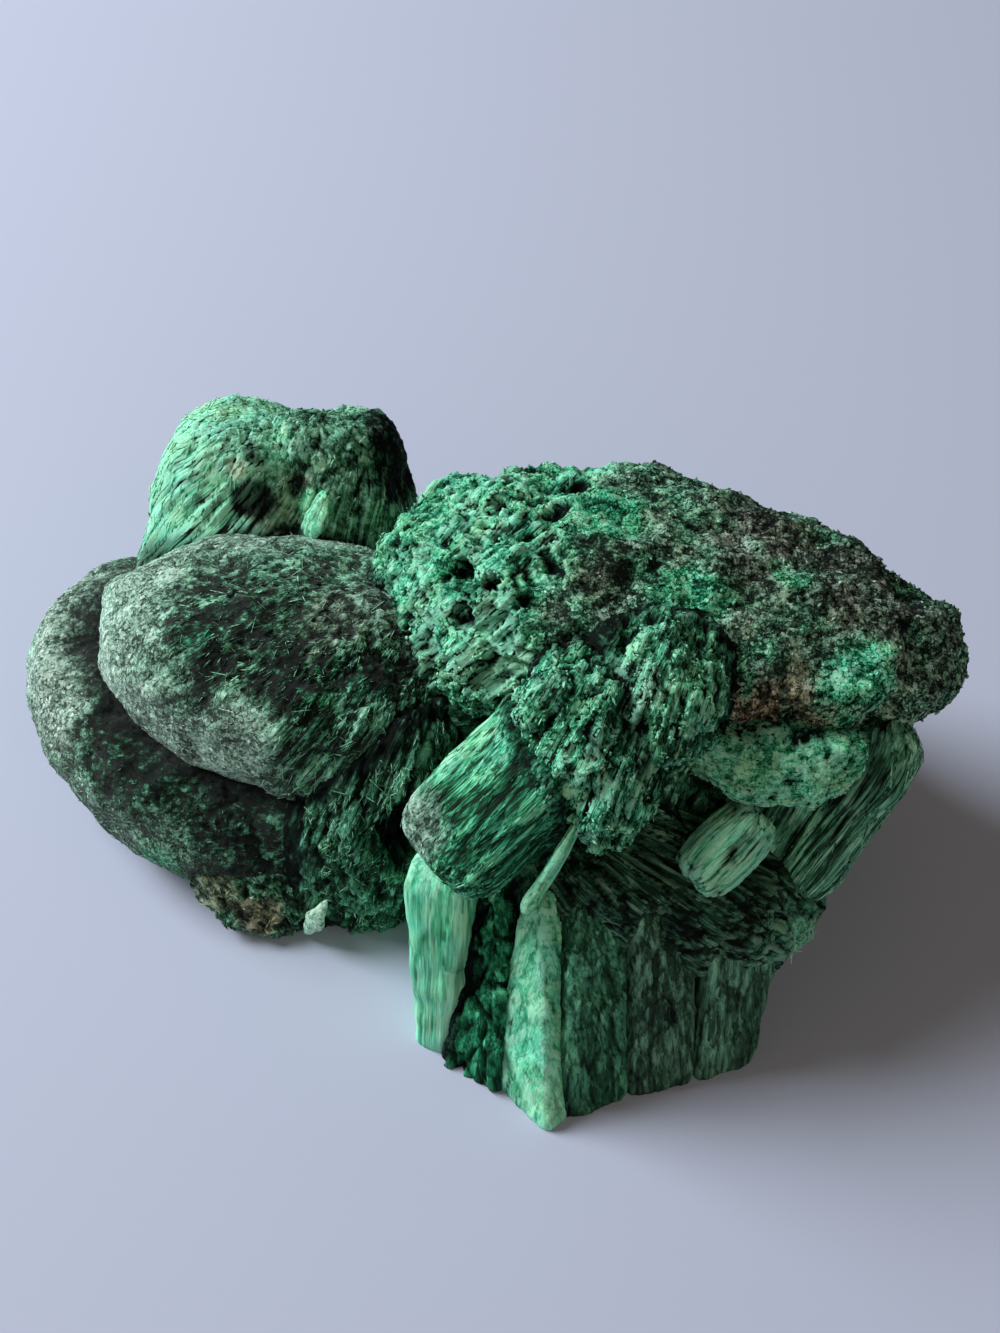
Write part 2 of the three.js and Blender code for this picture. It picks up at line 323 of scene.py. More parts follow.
        if np.any(silk):
            at = bent(0.6, 4.5, seed + 6)
            bundles, cleft, bundle = mosaic(at / (2.0, 2.0, 16.0), seed + 10, 0.3, 0.36, 0.3, 0.2)
            splinters, crack, splinter = mosaic(at / (0.8, 0.8, 9.0), seed + 20, 0.18, 0.22, 0.14, 0.3)
            height += silk * (bundles + splinters)
            own_tone += silk * (0.14 * bundle + 0.3 * splinter)
            gap_shade += silk * (0.3 * cleft + 0.12 * crack)
        if np.any(crust):
            at = bent(1.2, 2.0, seed + 30)
            blocks, _, block = mosaic(at / (2.0, 2.0, 4.0), seed + 40, 0.24, 0.4, 0.2, 0.2)
            chips, crack, chip = mosaic(at / (0.85, 0.85, 1.8), seed + 50, 0.2, 0.36, 0.0, 0.25)
            wide_pore = ease(0.34, 0.27, layered(at, 3.0, seed + 60, 2)) * ease(0.3, 0.8, crust)
            pore = ease(0.4, 0.32, layered(at, 1.1, seed + 63, 2))
            height += crust * (blocks + chips - 1.2 * wide_pore - 0.5 * pore)
            own_tone += crust * (0.2 * block + 0.36 * chip + 0.5 * uneven(at, 2.0, seed + 66, 2))
            gap_shade += crust * (0.9 * wide_pore + 0.7 * pore + 0.3 * crack)
        if np.any(nap):
            tuft = grain(p, 0.7, seed + 70)
            height += nap * (0.6 * uneven(p, 4.0, seed + 71) + 0.2 * (tuft - 0.5))
            own_tone += nap * (0.6 * uneven(p, 2.2, seed + 74))
        if np.any(grit):
            grains, _, own = mosaic(p / 0.7, seed + 80, 0.08, 0.12, 0.06, 0.3)
            height += grit * grains
            own_tone += grit * (0.5 * own + 0.5 * uneven(p, 1.8, seed + 84))
        rise = height - evened(height)
        # painted light and shade: what stands above its surroundings is painted lighter, what lies below
        # darker
        own_tone += 0.6 * np.clip(rise, -0.3, 0.3)
        gap_shade += 0.6 * ease(0.08, 0.4, -rise)
        self.raise_by(bold * height)
        hollow = np.clip((0.3 + 0.7 * bold) * gap_shade + hollow, 0, 1)
        masks = (tone + (0.4 + 0.6 * bold) * own_tone, grey, rust, hollow, silk)
        self.values = {key: np.broadcast_to(mask, height.shape) for key, mask in zip(MASKS, masks)}
        self.values["fibre"] = self.fibres()
        return self


def placed(name, data):
    """A new object of this data, in the scene."""
    thing = bpy.data.objects.new(name, data)
    bpy.context.scene.collection.objects.link(thing)
    return thing


def new_mesh(name, points, quads, tris, corner_uv, values, material):
    """An object from layout points in mm, faces, a UV per face corner, and the masks
    and fibre coordinates of each point. It rides and replaces as every piece here
    does."""
    mesh = bpy.data.meshes.new(name)
    mesh.vertices.add(len(points))
    mesh.loops.add(quads.size + tris.size)
    mesh.polygons.add(len(quads) + len(tris))
    starts = np.concatenate([np.arange(len(quads)) * 4, quads.size + np.arange(len(tris)) * 3])

    def fill(data, field, numbers, kind=np.float32):
        data.foreach_set(field, numbers.astype(kind).ravel())

    fill(mesh.vertices, "co", (points - MIDDLE) * MM)
    fill(mesh.loops, "vertex_index", np.concatenate([quads.ravel(), tris.ravel()]), np.int32)
    fill(mesh.polygons, "loop_start", starts, np.int32)
    fill(mesh.polygons, "use_smooth", np.ones(len(starts)), bool)
    mesh.update(calc_edges=True)
    fill(mesh.uv_layers.new(name="OFBake").data, "uv", corner_uv)
    for key, numbers in values.items():
        kind, field = ("FLOAT_VECTOR", "vector") if key == "fibre" else ("FLOAT", "value")
        fill(mesh.attributes.new(key, kind, "POINT").data, field, numbers)
    mesh.materials.append(material)
    piece = placed(name, mesh)
    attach(piece, "root")
    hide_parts("malachite")


def build_piece(name, lobes, material):
    """One object from closed lobes: quads between rows, a fan on each end, pressed
    flat below the ground at z = 0, and a strip of the UV map for each lobe. What is
    below is drawn in towards the middle of its row, so that it does not flare."""
    pull_per_mm, most_pull, uv_margin = 0.25, 0.6, 0.02
    points, quads, tris, quad_uv, tri_uv = [], [], [], [], []
    values = {key: [] for key in (*MASKS, "fibre")}
    strip = np.cumsum([0.0] + [float(len(lobe.points)) for lobe in lobes])
    strip /= strip[-1]
    base = 0
    for lobe, low, high in zip(lobes, strip[:-1], strip[1:]):
        grid = lobe.points.copy()
        above = np.nonzero((grid[..., 2] > 0).any(1))[0]
        first, last = max(above[0] - 1, 0), min(above[-1] + 1, len(grid) - 1)
        rows, cols = last - first - 1, grid.shape[1]
        under = np.clip(-pull_per_mm * grid[..., 2:], 0, most_pull)
        grid[..., :2] += (grid.mean(1, keepdims=True) - grid)[..., :2] * under
        grid[..., 2] = np.maximum(grid[..., 2], 0)

        def with_ends(numbers):
            numbers = numbers[first:last + 1]
            inner = numbers[1:-1].reshape(rows * cols, *numbers.shape[2:])
            return np.concatenate([inner, numbers[:1].mean(1), numbers[-1:].mean(1)])

        points.append(with_ends(grid))
        for key, parts in values.items():
            parts.append(with_ends(lobe.values[key]))
        index = base + np.arange(rows * cols).reshape(rows, cols)
        right = np.roll(index, -1, axis=1)
        tail, tip = np.full(cols, base + rows * cols), np.full(cols, base + rows * cols + 1)
        quads.append(np.stack([index[:-1], index[1:], right[1:], right[:-1]], -1).reshape(-1, 4))
        tris += [np.stack([tail, index[0], right[0]], -1), np.stack([index[-1], tip, right[-1]], -1)]
        margin = uv_margin * (high - low)
        u = np.linspace(0, 1, cols + 1)
        v = np.linspace(low + margin, high - margin, rows + 2)
        at = np.stack(np.meshgrid(u, v), -1)
        faces = np.stack([at[1:-2, :-1], at[2:-1, :-1], at[2:-1, 1:], at[1:-2, 1:]], 2)
        quad_uv.append(faces.reshape(-1, 2))
        middle = (at[:, :-1] + at[:, 1:]) / 2
        tri_uv += [np.stack([middle[0], at[1, :-1], at[1, 1:]], 1).reshape(-1, 2),
                   np.stack([at[-2, :-1], middle[-1], at[-2, 1:]], 1).reshape(-1, 2)]
        base += rows * cols + 2
    values = {key: np.concatenate(parts) for key, parts in values.items()}
    new_mesh(name, np.concatenate(points), np.concatenate(quads), np.concatenate(tris),
             np.concatenate(quad_uv + tri_uv), values, material)


def linear(*srgb):
    """A display colour of 0 to 255 as the linear colour that shaders take."""
    c = np.array(srgb) / 255
    return (*np.where(c <= 0.04045, c / 12.92, ((c + 0.055) / 1.055) ** 2.4), 1.0)


# each: place on the ramp and display colour
GREENS = ((0.0, 2, 14, 8), (0.2, 8, 46, 29), (0.42, 20, 98, 65), (0.62, 60, 170, 126),
          (0.82, 114, 222, 176), (1.0, 170, 250, 212))
GREYS = ((0.0, 10, 17, 13), (0.35, 64, 80, 70), (0.62, 148, 172, 156), (1.0, 222, 236, 226))
RUSTS = ((0.0, 10, 9, 7), (0.4, 56, 46, 37), (0.7, 112, 86, 62), (1.0, 196, 172, 142))
VECTORS = "VectorMath"


def socket_group(name, inputs, outputs):
    """A node group with float inputs, or vectors where the name is Vector, and
    float outputs, or a colour for Color and a vector for Tilt."""
    group = bpy.data.node_groups.new(name, "ShaderNodeTree")
    for label in inputs:
        kind = "NodeSocketVector" if label == "Vector" else "NodeSocketFloat"
        group.interface.new_socket(label, in_out="INPUT", socket_type=kind)
    for label in outputs:
        kind = {"Color": "NodeSocketColor", "Tilt": "NodeSocketVector"}.get(label, "NodeSocketFloat")
        group.interface.new_socket(label, in_out="OUTPUT", socket_type=kind)
    return group, group.nodes.new("NodeGroupInput"), group.nodes.new("NodeGroupOutput")


def feed(tree, sockets, values):
    """Links each value that is a socket and sets each other one."""
    for socket, value in zip(sockets, values):
        if isinstance(value, bpy.types.NodeSocket):
            tree.links.new(value, socket)
        else:
            socket.default_value = value


def settle(tree, node, inputs):
    """Feeds a node's inputs by label, and gives the node back."""
    feed(tree, [node.inputs[label] for label in inputs], inputs.values())
    return node


def add_node(tree, kind, inputs=None, group=None):
    """A new node, or a copy of a node group, with these inputs by label."""
    node = tree.nodes.new("ShaderNode" + kind)
    if group:
        node.node_tree = group
    return settle(tree, node, inputs or {})


def worked_out(tree, operation, *values, kind="Math"):
    """A Math or Vector Math node on sockets or plain values."""
    node = add_node(tree, kind)
    node.operation = operation
    feed(tree, node.inputs, values)
    return node.outputs[0]


def blend(tree, factor, first, second, kind="RGBA"):
    """A Mix node on two colours, or on two vectors."""
    node = add_node(tree, "Mix")
    node.data_type = kind
    ends = [socket for socket in node.inputs if socket.name in ("A", "B") and socket.type == kind]
    feed(tree, (node.inputs["Factor"], *ends), (factor, first, second))
    return [socket for socket in node.outputs if socket.type == kind][0]


def spread(tree, source, low, high, interpolation="LINEAR"):
    """A Map Range node: 0 at low, 1 at high."""
    node = add_node(tree, "MapRange", {"Value": source, "From Min": low, "From Max": high})
    node.interpolation_type = interpolation
    return node.outputs["Result"]


def tint_group():
    """Node group: tone, grey, rust and painted shade masks in, the mineral's colour out,
    which drifts between yellowish and bluish green over a few millimetres. The
    painted shade mixes it towards near black."""
    drift_size, bluish, yellowish = 3.5, (0.92, 1.0, 1.03, 1.0), (1.12, 1.0, 0.88, 1.0)
    inputs = ("Vector", "Tone", "Grey", "Rust", "Painted Shade")
    group, inside, outside = socket_group("mineral tint", inputs, ("Color",))
    shades = []
    for stops in (GREENS, GREYS, RUSTS):
        ramp = add_node(group, "ValToRGB", {"Fac": inside.outputs["Tone"]})
        points = ramp.color_ramp.elements
        points.remove(points[1])
        for position, *srgb in stops:
            point = points.new(position) if position else points[0]
            point.color = linear(*srgb)
        shades.append(ramp.outputs["Color"])
    drift = add_node(group, "TexNoise", {
        "Vector": inside.outputs["Vector"], "Scale": 1 / (drift_size * MM), "Detail": 3.0})
    hue = blend(group, spread(group, drift.outputs["Fac"], 0.35, 0.65), bluish, yellowish)
    result = worked_out(group, "MULTIPLY", shades[0], hue, kind=VECTORS)
    # painted shade: where its mask is high the colour goes to near black
    for key, colour in (("Grey", shades[1]), ("Rust", shades[2]), ("Painted Shade", linear(3, 12, 8))):
        result = blend(group, inside.outputs[key], result, colour)
    group.links.new(result, outside.inputs["Color"])
    return group


def texture_group(name, stretch):
    """Node group: cells of `Size` drawn out along the third axis, and noise half
    as wide. Shade is random per cell and in the noise, Height follows it, Gap is
    1 between cells, where painted shade goes, Fleck And Glint is 1 in one cell of
    14, for pale specks and painted glints, and Tilt is a random direction per
    cell, for its flat face."""
    outputs = ("Shade", "Height", "Gap", "Fleck And Glint", "Tilt")
    group, inside, outside = socket_group(name, ("Vector", "Size"), outputs)
    squeezed = worked_out(group, "MULTIPLY", inside.outputs["Vector"], (1.0, 1.0, 1 / stretch),
                          kind=VECTORS)
    scale = worked_out(group, "DIVIDE", 1.0, inside.outputs["Size"])
    cell = add_node(group, "TexVoronoi", {"Vector": squeezed, "Scale": scale})
    noise = add_node(group, "TexNoise", {
        "Vector": squeezed, "Scale": worked_out(group, "MULTIPLY", scale, 2.0), "Detail": 3.0,
        "Roughness": 0.65})
    split = add_node(group, "SeparateColor", {"Color": cell.outputs["Color"]})
    # noise stays near its middle, so it is spread by 3 about 0.5 before the average
    wide = worked_out(group, "MULTIPLY_ADD", noise.outputs["Fac"], 3.0, -1.0)
    shade = worked_out(group, "MULTIPLY", worked_out(group, "ADD", split.outputs["Red"], wide), 0.5)
    gap = spread(group, cell.outputs["Distance"], 0.58, 0.9, "SMOOTHSTEP")
    fleck_and_glint = spread(group, split.outputs["Green"], 0.93, 0.94, "SMOOTHSTEP")
    tilt = worked_out(group, "SUBTRACT", cell.outputs["Color"], (0.5, 0.5, 0.5), kind=VECTORS)
    feed(group, [outside.inputs[key] for key in outputs], (shade, shade, gap, fleck_and_glint, tilt))
    return group


TINT_GROUP = tint_group()
SPLINTER_GROUP = texture_group("fine splinters", 14.0)
GRANULE_GROUP = texture_group("fine granules", 1.0)


def mineral(name, splinter, granule, contrast, gap, tilt, bump, roughness, fleck_and_glint=0.0, sheen=0.0):
    """A malachite finish. Fine splinters of `splinter` mm in fibre coordinates
    and granules of `granule` mm, mixed by the silk mask, shift the painted tone
    by `contrast`, brighten one in 14 by `fleck_and_glint` as pale specks and
    painted glints, darken the gaps between them with painted shade, turn each
    one's face by `tilt` and raise a bump of `bump` mm."""
    material = bpy.data.materials.new(name)
    material.use_nodes = True
    tree = material.node_tree
    mask = {}
    for key in (*MASKS, "fibre"):
        node = add_node(tree, "Attribute")
        node.attribute_name = key
        mask[key] = node.outputs["Vector" if key == "fibre" else "Fac"]
    place = add_node(tree, "TexCoord").outputs["Object"]
    granules = add_node(tree, "Group", {"Vector": place, "Size": granule * MM}, GRANULE_GROUP).outputs
    splinters = add_node(tree, "Group", {"Vector": mask["fibre"], "Size": splinter}, SPLINTER_GROUP).outputs

    def by_silk(label):
        change = worked_out(tree, "SUBTRACT", splinters[label], granules[label])
        return worked_out(tree, "MULTIPLY_ADD", change, mask["silk"], granules[label])

    shade = worked_out(tree, "MULTIPLY_ADD", by_silk("Shade"), contrast, -0.5 * contrast)
    shade = worked_out(tree, "MULTIPLY_ADD", by_silk("Fleck And Glint"), fleck_and_glint, shade)
    # painted shade: the gaps between cells join the hollow mask
    dark = worked_out(tree, "MULTIPLY_ADD", by_silk("Gap"), gap, mask["hollow"])
    tint = add_node(tree, "Group", {
        "Vector": place, "Tone": worked_out(tree, "ADD", mask["tone"], shade), "Grey": mask["grey"],
        "Rust": mask["rust"], "Painted Shade": dark}, TINT_GROUP)
    relief = add_node(tree, "Bump", {"Distance": bump * MM, "Height": by_silk("Height")})
    face = blend(tree, mask["silk"], granules["Tilt"], splinters["Tilt"], "VECTOR")
    normal = worked_out(tree, "MULTIPLY_ADD", face, (tilt, tilt, tilt), relief.outputs["Normal"],
                        kind=VECTORS)
    settle(tree, tree.nodes["Principled BSDF"], {
        "Base Color": tint.outputs["Color"], "Roughness": roughness, "Specular IOR Level": 0.1,
        "Normal": worked_out(tree, "NORMALIZE", normal, kind=VECTORS), "Sheen Weight": sheen,
        "Sheen Roughness": 0.6})
    return material


DARK_FIBRE = mineral("dark fibre", splinter=0.34, granule=0.5, contrast=0.85, gap=0.4, tilt=0.8, bump=0.1,
                     roughness=0.7, fleck_and_glint=0.4)

grown = []
core = [
    Lobe([[-26, 10, 8], [-8, 8, 12], [8, 6, 13], [22, 4, 12]], [11, 14, 15, 10], [8, 13, 14, 12],
         lumps=1.4, spacing=0.68, crowd=0),
    Lobe([[15, -6, -6], [18, -4, 8], [25, -1, 24]], [11, 14, 17.5], [11, 13, 12], up=FRONT, blunt=3.3,
         lumps=1.0, flutes=7, flute_height=0.6, spacing=0.48, crowd=0),
    Lobe([[3, -14, -6], [7, -13, 8], [9, -9, 21]], [12, 12.5, 12], [12, 11, 9], up=FRONT, blunt=3,
         lumps=0.8, spacing=0.68, crowd=0),
    Lobe([[8, 6, 25], [5, 15, 15], [2, 20, 3]], [9, 10, 8], [8, 7, 6], blunt=2.8, lumps=0.8,
         flutes=5, flute_height=0.7, spacing=0.42),
    Lobe([[22, 3, 25], [23, 12, 15], [23, 16, 3]], [9, 9, 7.5], [8, 7, 6], blunt=2.8, lumps=0.8,
         flutes=5, flute_height=0.7, spacing=0.42),
    Lobe([[35, 2, 22], [32, 6, 13], [29, 8, 4]], [6.5, 7, 6], [6, 6, 5], blunt=2.8, lumps=0.8,
         spacing=0.4),
]
for number, lobe in enumerate(core):
    lobe.flare(grown, 5.0).finish(100 * number, 0.34, silk=0.8, crust=0.3, grey=0.25)
    grown.append(lobe)
build_piece("core_and_back", core, DARK_FIBRE)

# Velvet pillows
# Two rounded cushions of malachite fibres, one grown on the other, whose fibre
# ends make a grey-green velvet skin. The upper one is worn in the middle and
# painted darker there as shade, with a paler rim of painted light and sheen, and
# it is torn on its right. A foot under them carries the specimen.

VELVET = mineral("velvet skin", splinter=0.34, granule=0.38, contrast=1.35, gap=0.5, tilt=0.8, bump=0.08,
                 roughness=0.9, fleck_and_glint=0.25, sheen=0.12)


def spots(p, *places, ragged=0.7):
    """1 inside round spots, each given as x, y, z and radius in mm, easing to 0 from
    0.55 of the radius to all of it, with an edge that grain makes ragged."""
    away = np.minimum.reduce([length_of(p - centre) / radius for *centre, radius in places])
    return 1 - ease(0.55, 1.0, away + ragged * uneven(p, 2.2, 11))


foot = Lobe([[-27, 1, 6], [-23, -5, 4], [-18.2, -12.6, 0.5]], [9, 9.5, 7.5], [5, 5, 4],
            blunt=2.8, lumps=0.6)
p = foot.points
tan = np.maximum(spots(p, (-24.3, -13.6, 3.2, 3.2)), 0.8 * spots(p, (-28.5, -11.4, 5.3, 3.5)))
flake = spots(p, (-18.1, -12.6, 2.5, 2.0), ragged=0.3)
foot.flare(core, 4.0).finish(
    1000, 0.36 + 0.34 * tan + 0.6 * flake, silk=0.6, crust=0.5, grit=0.5, grey=0.3,
    rust=0.75 * tan * (1 - flake))

upper_pillow = Lobe([[-4, 2, 19], [-15, 4.8, 18.5], [-27, 9.8, 18.2], [-39.6, 17, 16.8]],
                    [11, 13.5, 13.9, 10.4], [9, 9.6, 9.4, 7.2], blunt=2.9, square=2.3, lumps=0.7,
                    spacing=0.28, source=(10, 14, 52))
lower_pillow = Lobe([[-8, -3, 8], [-20, 3, 8.5], [-29, 7, 9], [-38, 11, 9]],
                    [11.5, 13.2, 13.2, 8.6], [8, 9, 8.7, 7], blunt=4.5, lumps=0.6, spacing=0.36)
barrel = Lobe([[-39.6, 27, 10], [-42.4, 15, 9.8], [-39.6, 5.2, 9.2], [-32, -1.4, 8.3],
               [-18.6, -5.1, 7.5]], [6.4, 7.9, 7.8, 7.8, 7.5], [7.2, 8, 8, 7.8, 7.3], blunt=3.2,
              lumps=0.7, spacing=0.28, source=(-20, 14, 12))
for number, lobe in enumerate((lower_pillow, barrel)):
    p = lobe.points
    # painted light: the pale left rim stands for light and sheen on that side; painted shade: the shaded
    # patches and the crease under the upper pillow
    pale = spots(p, (-46, 15, 15, 11), (-44, 5, 14, 7))
    crease_shade = lobe.meeting(upper_pillow, 2.8, 9.0)
    shaded = spots(p, (-32, -3, 17, 9), (-24, -8, 13, 10), (-38, -1, 16, 6), (-21, -8, 13, 8))
    shaded = np.maximum(shaded, crease_shade)
    mint = np.maximum(spots(p, (-34, -9, 6, 4)), 0.5 * spots(p, (-49, 14, 12, 3.5)))
    mottle = uneven(p, 5.0, 35)
    lobe.flare(core + [foot], 2.5).finish(
        1100 + 50 * number, 0.43 + 0.2 * pale - 0.3 * shaded + 0.25 * mint + 0.4 * mottle,
        nap=1 - 0.4 * shaded, silk=0.1 + 0.3 * shaded, crust=0.1, grit=0.3 + 1.1 * shaded, bold=0.8,
        grey=np.clip(0.55 + 0.3 * pale - 0.3 * shaded - 0.5 * mint, 0, 1),
        hollow=0.16 * shaded + 0.7 * crease_shade)

p = upper_pillow.points
# wear_and_shade: worn fibre ends in the middle, painted darker as shade; the rim outside it stays pale grey
# as painted light and sheen
wear_and_shade = 1 - ease(0.5, 1.1, np.hypot((p[..., 0] + 18.5) / 18, (p[..., 1] - 5) / 12.5)
                + 0.8 * uneven(p, 5, 31))
wear_and_shade = wear_and_shade * ease(9, 19, p[..., 2])
pits = wear_and_shade * ease(0.6, 0.7, layered(p, 1.6, 33))
mint = 0.45 * spots(p, (-29.3, 3.0, 26.2, 3.0), ragged=1.4)
mottle = uneven(p, 4.0, 36)
grey_side, brown = spots(p, (-12.4, 4, 27.7, 7)), spots(p, (-16.5, 3.5, 27.9, 4.5))
torn_side = ease(-21, -14, p[..., 0] - 0.5 * p[..., 1]) * ease(5, -1, p[..., 1])
front = ease(4, -2, p[..., 1])
upper_pillow.flare(core, 3.0).finish(
    1500,
    0.6 - 0.36 * wear_and_shade + 0.4 * mint + 0.12 * grey_side - 0.22 * torn_side + 0.6 * mottle - 0.06 * front,
    nap=1 - 0.7 * wear_and_shade, silk=np.clip(0.1 + 0.5 * wear_and_shade + torn_side, 0, 1), crust=0.1,
    grit=0.3 + 1.2 * wear_and_shade, bold=0.75, rust=0.3 * brown, hollow=0.1 * wear_and_shade + 0.6 * pits,
    grey=np.clip(0.72 - 0.42 * wear_and_shade - 0.6 * mint + 0.3 * grey_side - 0.45 * torn_side, 0, 1))
foot_chip = Lobe([[-19.8, -14, 0.8], [-18.5, -14.2, 3.6], [-17.1, -13.9, 6.8]], [0.8, 1, 0.6],
                 [0.4, 0.5, 0.4], up=(-0.3, -0.6, 0.7), blunt=1.5, lumps=0.15, lump_size=2, spacing=0.2)
foot_chip.finish(1900, 1.0, nap=0.3, grey=0.5, bold=0.3)
build_piece("lower_left_pillow", [lower_pillow, barrel, foot, foot_chip], VELVET)
build_piece("upper_left_pillow", [upper_pillow], VELVET)
grown += [foot, lower_pillow, barrel, upper_pillow]

# Silky fan and porous knob
# A spray of long silky malachite fibres that grew out of the back left of the
# core, bright mint on its left flank. The darker porous knob on its right has tan
# spots, painted shadow in small holes and under its overhang, and one mint flake.

SILK = mineral("silky fibre", splinter=0.3, granule=0.4, contrast=0.9, gap=0.75, tilt=0.55, bump=0.08,
               roughness=0.7, fleck_and_glint=0.1)
POROUS = mineral("porous fibre", splinter=0.34, granule=0.4, contrast=1.0, gap=0.9, tilt=0.7, bump=0.1,
                 roughness=0.8, fleck_and_glint=0.2)

fan = Lobe([[-28.5, 21.5, -2], [-28.2, 24.3, 12], [-25.6, 27.2, 23], [-23, 28.8, 31.4]],
           [9, 10.2, 10.4, 8.8], [8, 9, 8.5, 6.5], up=FRONT, blunt=4.2, square=2.4, lumps=0.5,
           source=(-53, 13, -37), twist=0.045)
knob = Lobe([[-15, 20, 8], [-17, 25, 22], [-17.6, 28.4, 33]], [8, 7.8, 8.2], [7, 6, 6], up=FRONT,
            blunt=3, lumps=0.7, source=(-53, 13, -37), twist=0.04)
for number, lobe in enumerate((fan, knob)):
    p = lobe.points
    porous = ease(-29, -25, p[..., 0] - 0.45 * (p[..., 2] - 23) + 5 * uneven(p, 4, 77))
    tan = np.maximum(spots(p, (-26.6, 22, 31, 1.8), (-23.3, 20, 26.4, 3.2)),
                     0.8 * spots(p, (-20.4, 22, 28.4, 2.4)))
    flake = np.maximum(spots(p, (-18.8, 20.5, 26.9, 2.6), ragged=0.4),
                       0.6 * spots(p, (-22.6, 24.7, 31.6, 2.4)))
    # painted shadow: small dark holes, and the undercut where the knob meets the crust
    under = spots(p, (-11.1, 26, 28.4, 6), (-25, 23.4, 31.7, 1.6), (-20.4, 22, 28.4, 1.5),
                  (-25.2, 20.3, 28.4, 3.0))
    streaks = ease(0.5, 0.38, layered(lobe.fibres() / (1, 1, 7), 1.6, 79))
    top = ease(33.5, 36, p[..., 2] + 0.4 * (p[..., 1] - 26) + 3 * uneven(p, 3, 78))
    lobe.flare(grown, 3.0).finish(
        1200 + 100 * number, 1.1 - 0.49 * porous + 0.3 * flake + 0.12 * tan - 0.1 * under - 0.25 * top,
        grey=0.35 * porous * (1 - flake), silk=1 - 0.3 * porous, crust=0.3 * porous, grit=0.8 * porous,
        rust=0.45 * tan * (1 - flake), hollow=(0.75 * under + 0.14 * streaks) * (1 - flake),
        bold=0.6 + 0.1 * number)
build_piece("silky_fan", [fan], SILK)
knob_chip = Lobe([[-19.8, 18.4, 24.6], [-18.7, 19.2, 26.8], [-17.6, 20.6, 29.4]], [1.5, 1.5, 0.8],
                 [0.6, 0.6, 0.4], up=(-0.45, -0.45, 0.75), lumps=0.2, lump_size=2, spacing=0.2)
knob_chip.finish(1950, 0.95, silk=0.6, bold=0.4)
build_piece("porous_knob", [knob, knob_chip], POROUS)
grown += [fan, knob]

# Torn hollow
# Right of the upper pillow the mass is torn open: green malachite fibres, still
# fixed at their upper ends, hang down from the edge into a hollow painted dark as shade.

torn = Lobe([[-8, 0, 22], [-12.5, -6, 16], [-17, -9.5, 10]], [7, 7, 5], [5, 4.5, 3.5], blunt=2.4,
            lumps=0.5, source=(0, 9, 40))
hollow_floor = Lobe([[-10, -2, 16], [-13, -8, 9], [-14, -10, -2]], [7, 8, 8], [6, 5, 4.5], up=FRONT,
                    blunt=2.6, lumps=0.6, source=(0, 9, 40))
for number, lobe in enumerate((torn, hollow_floor)):
    # hole: pressed in 3 mm and painted dark inside as shade
    hole = spots(lobe.points, (-9.5, -10, 14, 5.0))
    flake = spots(lobe.points, (-18.1, -12.6, 2.5, 2.4), ragged=0.3)
    lobe.raise_by(-3.0 * hole)
    lobe.flare(grown, 2.5).finish(
        1600 + 100 * number, 0.38 - 0.1 * hole + 0.6 * flake, silk=1 - 0.3 * number,
        crust=0.2 + 0.3 * number, grey=0.25, hollow=0.75 * hole)
build_piece("torn_hollow", [torn, hollow_floor], DARK_FIBRE)
grown += [torn, hollow_floor]

# Crusted top
# The highest part, a broad ridge that grew over the core: spongy mint malachite
# full of pores on the left, which turns into a dark grey-brown crust with green
# patches and rust stains towards the right tip.

CRUST = mineral("spongy crust", splinter=0.3, granule=0.36, contrast=1.25, gap=0.9, tilt=0.85, bump=0.1,
                roughness=0.8, fleck_and_glint=0.15)

